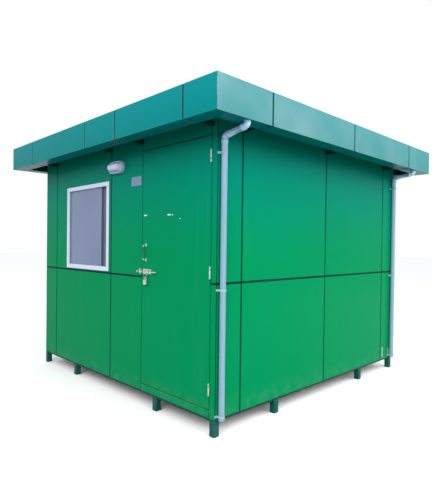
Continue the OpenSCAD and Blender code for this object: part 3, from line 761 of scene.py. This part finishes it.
# %% Placing tree
def placing_tree():
    tree = bpy.data.node_groups.new("place_fittings", "GeometryNodeTree")
    for label, kind in (("Places", "Geometry"), ("Fitting", "Object"), ("Finish", "Material"),
                        ("Spin", "Float"), ("Seed", "Int")):
        tree.interface.new_socket(label, in_out="INPUT", socket_type="NodeSocket" + kind)
    tree.interface.new_socket("Fittings", in_out="OUTPUT", socket_type="NodeSocketGeometry")
    entry = add(tree, "NodeGroupInput")
    leave = add(tree, "NodeGroupOutput")
    shape = add(tree, "GeometryNodeObjectInfo")
    feed(tree, shape.inputs["Object"], entry.outputs["Fitting"])
    read = {}
    for label in ("turn", "stretch"):
        read[label] = add(tree, "GeometryNodeInputNamedAttribute", data_type="FLOAT_VECTOR")
        feed(tree, read[label].inputs["Name"], label)
    put = add(tree, "GeometryNodeInstanceOnPoints")
    feed(tree, put.inputs["Points"], entry.outputs["Places"])
    feed(tree, put.inputs["Instance"], shape.outputs["Geometry"])
    to_turn = add(tree, "FunctionNodeEulerToRotation")
    feed(tree, to_turn.inputs[0], read["turn"].outputs["Attribute"])
    feed(tree, put.inputs["Rotation"], to_turn.outputs[0])
    feed(tree, put.inputs["Scale"], read["stretch"].outputs["Attribute"])
    chance = add(tree, "FunctionNodeRandomValue", data_type="FLOAT")
    least = calc(tree, "MULTIPLY", entry.outputs["Spin"], -1.0)
    feed(tree, chance.inputs[2], least)
    feed(tree, chance.inputs[3], entry.outputs["Spin"])
    feed(tree, chance.inputs["Seed"], entry.outputs["Seed"])
    axis = add(tree, "ShaderNodeCombineXYZ")
    feed(tree, axis.inputs[2], chance.outputs[1])
    spin_turn = add(tree, "FunctionNodeEulerToRotation")
    feed(tree, spin_turn.inputs[0], axis.outputs[0])
    spun = add(tree, "GeometryNodeRotateInstances")
    feed(tree, spun.inputs["Instances"], put.outputs[0])
    feed(tree, spun.inputs["Rotation"], spin_turn.outputs[0])
    real = add(tree, "GeometryNodeRealizeInstances")
    feed(tree, real.inputs[0], spun.outputs[0])
    paint = add(tree, "GeometryNodeSetMaterial")
    feed(tree, paint.inputs["Geometry"], real.outputs[0])
    feed(tree, paint.inputs["Material"], entry.outputs["Finish"])
    feed(tree, leave.inputs[0], paint.outputs[0])
    return tree


place_fittings = placing_tree()
print("placing tree:", len(place_fittings.nodes), "nodes")


# %% Placing helper
def turn_to(along, outward):
    """Euler angles that stand a shape's Z along one way with its -Y facing outward."""
    z = Vector(along).normalized()
    y = -Vector(outward).normalized()
    return Matrix((y.cross(z), y, z)).transposed().to_euler()


def place_many(name, shape_bm, places, finish, body, spin=0.0, seed=7, smooth=35):
    """Puts a shape at each (place, turn, stretch) and finishes the result as one piece."""
    shape = linked(name + "_shape", mesh_of(shape_bm, name + "_shape"))
    points = bpy.data.meshes.new(name + "_places")
    points.from_pydata([tuple(p[0]) for p in places], [], [])
    for label, index in (("turn", 1), ("stretch", 2)):
        layer = points.attributes.new(label, "FLOAT_VECTOR", "POINT")
        layer.data.foreach_set("vector", [c for p in places for c in p[index]])
    holder = linked(name + "_places", points)
    placing = holder.modifiers.new("placing", "NODES")
    placing.node_group = place_fittings
    sockets = {i.name: i.identifier for i in place_fittings.interface.items_tree
               if i.in_out == "INPUT"}
    placing[sockets["Fitting"]] = shape
    placing[sockets["Finish"]] = finish
    placing[sockets["Spin"]] = spin
    placing[sockets["Seed"]] = seed
    result = bpy.data.meshes.new_from_object(
        holder.evaluated_get(bpy.context.evaluated_depsgraph_get()))
    holder.modifiers.remove(placing)
    for helper in (shape, holder):
        bpy.data.objects.remove(helper)
    return finish_mesh(name, result, finish, body, (), smooth)


# %% [markdown]
# ## Sealant in the joints
#
# A bead is a shallow strip pressed into the joint, a little below the panel face. One metre
# of it is drawn, and each joint stretches it to its own length.

# %% Bead shape
bead_outline = ((-1.0, 0.0), (-0.7, -0.72), (-0.28, -1.0), (0.28, -1.0), (0.7, -0.72),
                (1.0, 0.0), (1.0, 0.3), (-1.0, 0.3))


def bead(start, end, outward):
    """A place that stretches a one metre strip from start to end, with its face outward."""
    run = Vector(end) - Vector(start)
    return (Vector(start), turn_to(run, outward), (1.0, 1.0, run.length))


# %% Wall joints
front_low, front_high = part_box("front_cladding")
wall_y, bottom, top = front_low[1], front_low[2], front_high[2]
wall_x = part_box("side_cladding")[1][0]
core_y = wall_y + sheet
core_x = wall_x - sheet
panels = loose_boxes("front_cladding")
side_panels = loose_boxes("side_cladding")
row_tops = sorted({round(b[1].z, 4) for b in side_panels})
row_feet = sorted({round(b[0].z, 4) for b in side_panels})
level_z = (row_tops[0] + row_feet[1]) / 2
joint_half = (row_feet[1] - row_tops[0]) / 2
print("level joint at", round(level_z, 4), "half width", round(joint_half, 4))


def upright_joints(boxes, axis):
    """The middles of the upright joints in a row of panels, from the panels' own edges."""
    edges = {(round(b[0][axis], 4), round(b[1][axis], 4)) for b in boxes}
    return sorted({round((end + start) / 2, 4) for _, end in edges for start, _ in edges
                   if 0.5 * joint_half < start - end < 2.5 * joint_half})


front_joints = upright_joints(panels, 0)
side_joints = upright_joints([b for b in side_panels if b[0].x > 0], 1)
back_joints = upright_joints(loose_boxes("back_cladding"), 0)

# %% Wall beads
beads = []
door_low, door_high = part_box("door_skin")
door_gap_left = max(b[1].x for b in panels if b[1].x < door_low[0])
strip_left = min(b[0].x for b in panels if b[0].x > door_high[0])
for x in [j for j in front_joints if j < door_gap_left - 0.05]:
    beads.append(bead((x, core_y, bottom), (x, core_y, top), (0, -1, 0)))
for x in back_joints:
    beads.append(bead((x, -core_y, bottom), (x, -core_y, top), (0, 1, 0)))
beads.append(bead((-core_x, core_y, level_z), (door_gap_left, core_y, level_z), (0, -1, 0)))
beads.append(bead((strip_left, core_y, level_z), (core_x, core_y, level_z), (0, -1, 0)))
beads.append(bead((-core_x, -core_y, level_z), (core_x, -core_y, level_z), (0, 1, 0)))
for sign in (-1, 1):
    beads.append(bead((sign * core_x, core_y, level_z), (sign * core_x, -core_y, level_z),
                      (sign, 0, 0)))
    for y in side_joints:
        beads.append(bead((sign * core_x, y, bottom), (sign * core_x, y, top), (sign, 0, 0)))
bead_half, bead_rise = joint_half * 0.99, 0.0035
place_many("wall_sealant", extruded(bead_outline, bead_half, bead_rise), beads, sealant,
           "cabin")

# %% Corner beads
# Sealant beads run up each corner, and their dark line is also a painted shadow of the downpipe.
corners = []
for sign in (-1, 1):
    for end in (-1, 1):
        at = Vector((sign * wall_x, end * (-core_y - 0.001), bottom))
        corners.append(bead(at, at + Vector((0, 0, top - bottom)), (sign, 0, 0)))
place_many("corner_sealant", extruded(bead_outline, 0.0045, 0.0012), corners, sealant,
           "cabin")

# %% Eaves beads
beads = []
for box in loose_boxes("eaves_uprights"):
    middle, outward = side_of(box)
    along = Vector((0, 0, 1)).cross(outward)
    base = along * middle.dot(along) + outward * (face_out - sheet)
    beads.append(bead(base + Vector((0, 0, eaves_foot + 0.001)),
                      base + Vector((0, 0, eaves_top - 0.001)), outward))
    under = base + Vector((0, 0, eaves_foot + sheet))
    beads.append(bead(under, under - outward * (return_in - sheet), (0, 0, -1)))
    over = base + Vector((0, 0, eaves_top - sheet))
    beads.append(bead(over, over - outward * (coping_in - sheet), (0, 0, 1)))
place_many("eaves_sealant", extruded(bead_outline, bead_half, bead_rise), beads, sealant,
           "cabin")

# %% [markdown]
# ## Screws
#
# A pan head is a small dome with a rim, turned from a profile. A roof screw has a hexagon
# head over a wide washer. Both are few-sided, because there are many of them.

# %% Screw shapes
def turned(profile, steps):
    """A closed solid turned round Z from (radius, height) pairs, foot first."""
    bm = bmesh.new()
    angles = [2 * math.pi * i / steps for i in range(steps)]
    skin(bm, [[bm.verts.new((radius * math.cos(a), radius * math.sin(a), z)) for a in angles]
              for radius, z in profile])
    return bm


def pan_head(radius):
    return turned([(radius, 0.0), (radius, radius * 0.25), (radius * 0.82, radius * 0.5),
                   (radius * 0.45, radius * 0.62), (radius * 0.18, radius * 0.62),
                   (radius * 0.12, radius * 0.35)], 12)


def roof_screw():
    bm = turned([(0.0090, 0.0), (0.0090, 0.0012), (0.0062, 0.0020), (0.0062, 0.0022)], 12)
    head = turned([(0.0048, 0.0020), (0.0048, 0.0062), (0.0040, 0.0070)], 6)
    joined = mesh_of(head, "head")
    bm.from_mesh(joined)
    bpy.data.meshes.remove(joined)
    return bm


def face_place(place, outward):
    """A place for a turned shape that stands on a face and points outward."""
    return (Vector(place), Vector(outward).to_track_quat("Z", "Y").to_euler(), (1.0, 1.0, 1.0))


# %% Bolt and pull screws
ahead = (0, -1, 0)
cabin_screws, door_screws = [], []
guide_low, guide_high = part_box("bolt_guides")
keep_low, keep_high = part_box("bolt_keep")
bolt_plate = 0.003
row_half = 0.0165
guide_in, keep_in = 0.007, 0.006
bolt_z = (keep_low[2] + keep_high[2]) / 2
screw_rows = (bolt_z + row_half, bolt_z - row_half)
for x in (guide_low[0] + guide_in, (guide_low[0] + guide_high[0]) / 2, guide_high[0] - guide_in):
    for z in screw_rows:
        door_screws.append(face_place((x, wall_y - bolt_plate, z), ahead))
for z in screw_rows:
    for x in (keep_low[0] + keep_in, keep_high[0] - keep_in):
        cabin_screws.append(face_place((x, wall_y - bolt_plate, z), ahead))
pad, pad_in, pad_half = 0.004, 0.0102, 0.0095
pull_x = (pull_low[0] + pull_high[0]) / 2
for z in (pull_low[2] + pad_in, pull_high[2] - pad_in):
    for x in (pull_x - pad_half, pull_x + pad_half):
        door_screws.append(face_place((x, wall_y - pad, z), ahead))

# %% Plate and clip screws
plate_low, plate_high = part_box("wall_plate")
plate_in, clip_in = 0.010, 0.008
clip_strap = 0.0026
screw_radius = 0.0036
for x in (plate_low[0] + plate_in, plate_high[0] - plate_in):
    for z in (plate_low[2] + plate_in, plate_high[2] - plate_in):
        cabin_screws.append(face_place((x, plate_low[1], z), ahead))
for corner_low, corner_high in loose_boxes("pipe_clips"):
    size = corner_high - corner_low
    if size.x > 0.005 and size.y > 0.05:
        for y in (corner_low.y + clip_in, corner_high.y - clip_in):
            place = (wall_x + clip_strap, y, (corner_low.z + corner_high.z) / 2)
            cabin_screws.append(face_place(place, (1, 0, 0)))
for name, places, body, seed in (("cabin_screws", cabin_screws, "cabin", 11),
                                 ("door_screws", door_screws, "door", 12)):
    place_many(name, pan_head(screw_radius), places, zinc, body, spin=3.14,
               seed=seed)

# %% Roof screws
bearers = loose_boxes("roof_firrings")
bearer_size = bearers[0][1] - bearers[0][0]
bearer_foot = 0.012
roof_sheet = 0.0022
end_in, side_in = 0.06, 0.012
outer_bearer = 1.7
row_count = 10
slope_down = (bearer_size.z - bearer_foot) / bearer_size.x
tilt = math.atan(slope_down)
roof_out = Vector((math.sin(tilt), 0.0, math.cos(tilt)))
roof_places = []
for corner_low, corner_high in bearers:
    y = (corner_low.y + corner_high.y) / 2
    if abs(y) > outer_bearer:
        y = math.copysign(abs(y) - side_in, y)
    for i in range(row_count):
        along = end_in + (bearer_size.x - 2 * end_in) * i / (row_count - 1)
        z = corner_high.z - along * slope_down + roof_sheet
        roof_places.append(face_place((corner_low.x + along, y, z), roof_out))
place_many("roof_screws", roof_screw(), roof_places, zinc, "cabin",
           spin=3.14, seed=13)

# %% [markdown]
# ## Window details
#
# Black rubber gaskets hold both panes, a raised lip runs round the opening, and a thin dark
# line of sealant closes the frame to the wall, which is also a painted shadow round the
# frame. Each is a rectangular ring drawn from two outlines.

# %% Window rings
def rectangle_ring(bm, low, high, spread, y, width):
    """A ring this wide, from y[0] to y[1], round a box in X and Z that is spread first."""
    loops = []
    for py, grown in ((y[0], spread), (y[0], spread - width), (y[1], spread - width),
                      (y[1], spread)):
        x0, z0, x1, z1 = low[0] - grown, low[2] - grown, high[0] + grown, high[2] + grown
        loops.append([bm.verts.new((x, py, z)) for x, z in ((x0, z0), (x1, z0), (x1, z1),
                                                            (x0, z1))])
    skin(bm, loops + loops[:1], capped=False)


def ringed(name, rings, finish, bevel=0.0008):
    bm = bmesh.new()
    for ring in rings:
        rectangle_ring(bm, *ring)
    bmesh.ops.recalc_face_normals(bm, faces=bm.faces)
    round_edges(bm, sharp_edges(bm), bevel)
    to_object(name, bm, finish, "cabin", smooth=40)


pane_low, pane_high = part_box("window_sash")
glass_low, glass_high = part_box("window_glass")
frame_low, frame_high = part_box("window_frame")
rubber = 0.004
ringed("pane_gaskets",
       [(pane_low, pane_high, 0.0, (pane_low[1] - 0.0025, pane_low[1] + 0.002), rubber),
        (glass_low, glass_high, 0.0, (glass_low[1] - 0.002, glass_low[1] + 0.002), rubber)],
       gasket)
opening_high = (glass_high[0], glass_high[1], pane_high[2])
ringed("frame_lips",
       [(pane_low, opening_high, 0.001, (pane_low[1] - 0.012, pane_low[1] - 0.009), 0.005)],
       frame_white)
# The dark sealant ring is also a painted shadow round the frame.
ringed("frame_sealant",
       [(frame_low, frame_high, 0.004, (wall_y - 0.003, wall_y + 0.001), 0.009)],
       sealant, bevel=0.0012)

# %% [markdown]
# ## The lamp
#
# The lamp is an oval bulkhead light: a moulded base, a raised rim and an opal dome. Rings
# with round ends are joined one after another, as a skin is laid over ribs.

# %% Oval rings
def oval_ring(width, height, count=48):
    """Points round a flat shape with straight sides and round ends."""
    radius = height / 2
    straight = (width - height) / 2
    points = []
    for i in range(count):
        angle = 2 * math.pi * (i + 0.5) / count
        x, z = radius * math.cos(angle), radius * math.sin(angle)
        points.append((x + math.copysign(straight, x), z))
    return points


def oval_skin(centre, rings):
    """A closed skin over ovals given as (width, height, distance out from the wall)."""
    bm = bmesh.new()
    skin(bm, [[bm.verts.new((centre[0] + x, centre[1] - out, centre[2] + z))
               for x, z in oval_ring(width, height)] for width, height, out in rings])
    bmesh.ops.recalc_face_normals(bm, faces=bm.faces)
    return bm


# %% Lamp shell and dome
lamp_low, lamp_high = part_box("lamp_base")
centre = ((lamp_low[0] + lamp_high[0]) / 2, wall_y, (lamp_low[2] + lamp_high[2]) / 2)
wide, tall = lamp_high[0] - lamp_low[0], lamp_high[2] - lamp_low[2]
base_out = wall_y - lamp_low[1]
dome_out = wall_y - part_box("lamp_cover")[0][1]
dome_in = 0.038
dome_steps, dome_fullness = 13, 0.75
shell_rings = [(wide - 0.004, tall - 0.004, 0.0), (wide, tall, 0.002),
               (wide, tall, base_out - 0.010), (wide - 0.004, tall - 0.004, base_out - 0.006),
               (wide - 0.002, tall - 0.002, base_out - 0.003),
               (wide - 0.003, tall - 0.003, base_out + 0.006),
               (wide - 0.010, tall - 0.010, base_out + 0.013),
               (wide - 0.022, tall - 0.022, base_out + 0.013),
               (wide - 0.030, tall - 0.030, base_out + 0.006),
               (wide - 0.034, tall - 0.034, base_out - 0.004)]
to_object("lamp_shell", oval_skin(centre, shell_rings), lamp_shell, "cabin",
          ("lamp_base",), smooth=50)
dome_rings = []
for step in range(dome_steps):
    angle = math.pi / 2 * step / (dome_steps - 0.4)
    shrink = (tall - dome_in) * (1 - math.cos(angle) ** dome_fullness)
    dome_rings.append((wide - dome_in - shrink, tall - dome_in - shrink,
                       base_out - 0.003 + (dome_out - base_out) * math.sin(angle)))
to_object("lamp_dome", oval_skin(centre, dome_rings), opal, "cabin",
          ("lamp_cover",), smooth=60)

# %% [markdown]
# ## The padlock
#
# A padlock's body is a block with well rounded corners, a turned skirt round the keyhole
# and a bright shackle. The node is softened, and the skirt is added.

# %% Padlock
softened("padlock", "padlock_body", zinc, "door", bevel=0.0022, segments=3,
         smooth=40)
lock_low, lock_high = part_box("padlock")
lock_x = (lock_low[0] + lock_high[0]) / 2
lock_y = (lock_low[1] + lock_high[1]) / 2
bm = turned([(0.0065, 0.0), (0.0065, 0.0016), (0.0050, 0.0020), (0.0042, 0.0012),
             (0.0010, 0.0010)], 20)
bm.transform(Matrix.Translation((lock_x, lock_y, lock_low[2] + 0.0018))
             @ Matrix.Rotation(math.pi, 4, "X"))
to_object("keyhole_skirt", bm, zinc, "door", smooth=35)

# %% [markdown]
# ## Small marks
#
# Scraps of tape are left on the door, where a notice hung, and at the foot of the right
# wall. Each is a thin patch with a torn, uneven outline.

# %% Tape scraps
def scrap(bm, centre_at, across_to, up_to, width, height, seed):
    """A thin torn patch standing on a face, with its thickness outward."""
    dice = random.Random(seed)
    across_way, up_way = Vector(across_to), Vector(up_to)
    out_way = across_way.cross(up_way)
    count = 14
    thick = 0.0003
    front, back = [], []
    for i in range(count):
        angle = 2 * math.pi * i / count
        reach = 1.0 + dice.uniform(-0.22, 0.12)
        square = max(abs(math.cos(angle)), abs(math.sin(angle)))
        flat = (across_way * math.cos(angle) * width / 2
                + up_way * math.sin(angle) * height / 2) * reach / square
        spot = Vector(centre_at) + flat
        back.append(bm.verts.new(spot))
        front.append(bm.verts.new(spot + out_way * thick))
    skin(bm, [back, front])


bm = bmesh.new()
for index, (x, z, width, height) in enumerate((
        (0.591, 1.752, 0.047, 0.011), (0.938, 1.745, 0.046, 0.012),
        (0.985, 1.742, 0.020, 0.008), (1.087, 1.708, 0.012, 0.007))):
    scrap(bm, (x, wall_y, z), (1, 0, 0), (0, 0, 1), width, height, index)
to_object("door_tape", bm, tape_white, "door")
bm = bmesh.new()
for index, (y, z, width, height) in enumerate(((1.290, 0.220, 0.011, 0.127),
                                               (1.445, 0.210, 0.009, 0.074))):
    scrap(bm, (wall_x, y, z), (0, 1, 0), (0, 0, 1), width, height, index + 9)
to_object("wall_tape", bm, tape_white, "cabin")

# %% [markdown]
# ## Inside the room
#
# The linings are boards, and their joints are covered by thin strips. One strip is drawn and
# the placing tree stretches it over each joint of the walls and the ceiling.

# %% Cover strips
strip_outline = ((-0.5, 0.0), (-0.5, -0.6), (-0.36, -1.0), (0.36, -1.0), (0.5, -0.6), (0.5, 0.0))
room_low, room_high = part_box("ceiling")
left, fore, head_z = room_low
right, rear = room_high[:2]
foot_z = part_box("floor_deck")[1][2]
board_joint = 0.61
window_joint = 0.25
strips = []
for at in (-board_joint, board_joint):
    strips.append(bead((at, rear, foot_z), (at, rear, head_z), (0, -1, 0)))
    strips.append(bead((right, at, foot_z), (right, at, head_z), (-1, 0, 0)))
    strips.append(bead((left, at, foot_z), (left, at, head_z), (1, 0, 0)))
    strips.append(bead((at, fore, head_z), (at, rear, head_z), (0, 0, -1)))
strips.append(bead((window_joint, fore, foot_z), (window_joint, fore, head_z), (0, 1, 0)))
place_many("cover_strips", extruded(strip_outline, 0.030, 0.003), strips, lining_white,
           "cabin")

# %% Skirting
skirt_tall = 0.070
skirt_z = foot_z + skirt_tall / 2
door_gap = 0.06
skirting = [bead((left, rear, skirt_z), (right, rear, skirt_z), (0, -1, 0)),
            bead((right, fore, skirt_z), (right, rear, skirt_z), (-1, 0, 0)),
            bead((left, fore, skirt_z), (left, rear, skirt_z), (1, 0, 0)),
            bead((left, fore, skirt_z), (door_low[0] - door_gap, fore, skirt_z), (0, 1, 0))]
place_many("skirting", extruded(strip_outline, skirt_tall, 0.008), skirting, lining_white,
           "cabin")

# %% [markdown]
# ## Floor, light and background
#
# A cabin outdoors is lit by the whole sky, which is a very soft light from above. A pale
# even world does that, and three wide soft lamps give the walls a direction. The floor is
# pale to the camera and darker for bounced light, because real ground under a cabin throws
# back little.

# %% Rays that see the backdrop
def seen_directly(tree):
    """1 for rays from the camera, from gloss or through glass, and 0 for soft light."""
    path = add(tree, "ShaderNodeLightPath")
    direct = calc(tree, "MAXIMUM", path.outputs["Is Camera Ray"], path.outputs["Is Glossy Ray"])
    return calc(tree, "MAXIMUM", direct, path.outputs["Is Transmission Ray"])


def two_way(tree, kind, output, thrown, shown):
    """A shader that throws one light and shows another to the camera and to mirrors."""
    tree.nodes.clear()
    choose = add(tree, "ShaderNodeMixShader")
    feed(tree, choose.inputs[0], seen_directly(tree))
    for index, values in ((1, thrown), (2, shown)):
        part = add(tree, kind)
        for label, value in values.items():
            feed(tree, part.inputs[label], value)
        feed(tree, choose.inputs[index], part.outputs[0])
    feed(tree, add(tree, output).inputs["Surface"], choose.outputs[0])


# %% Stage
floor_size = 60.0
bm = bmesh.new()
bmesh.ops.create_grid(bm, x_segments=1, y_segments=1, size=floor_size)
floor = linked("stage_floor", mesh_of(bm, "stage_floor"))
floor_paint = bpy.data.materials.new("stage_floor")
floor_paint.use_nodes = True
two_way(floor_paint.node_tree, "ShaderNodeBsdfDiffuse", "ShaderNodeOutputMaterial",
        {"Color": (0.27, 0.28, 0.28)}, {"Color": (0.93, 0.93, 0.93)})
floor.data.materials.append(floor_paint)

# %% World
world = bpy.data.worlds.new("even_sky")
bpy.context.scene.world = world
world.use_nodes = True
two_way(world.node_tree, "ShaderNodeBackground", "ShaderNodeOutputWorld",
        {"Color": (0.96, 0.99, 1.0), "Strength": 1.05}, {"Color": (1.0, 1.0, 1.0), "Strength": 1.0})
print("stage and sky ready")


# %% Lamps
def soft_light(name, place, target, size, power):
    """A round lamp that shines at a target and leaves no mirror image on glossy paint."""
    lamp = bpy.data.lights.new(name, "AREA")
    lamp.shape = "DISK"
    lamp.size = size
    lamp.energy = power
    holder = linked(name, lamp)
    aim = Vector(target) - Vector(place)
    holder.rotation_mode = "QUATERNION"
    holder.rotation_quaternion = aim.to_track_quat("-Z", "Y")
    holder.location = place
    holder.visible_glossy = False


soft_light("front_light", (5.0, -9.0, 7.0), (0.0, 0.0, 1.2), 7.0, 850.0)
soft_light("side_light", (10.0, -1.0, 7.0), (0.0, 0.0, 1.2), 7.0, 650.0)
soft_light("far_light", (8.3, 8.0, 5.6), (1.5, 0.0, 2.2), 9.0, 500.0)
bpy.context.scene.view_settings.view_transform = "Standard"
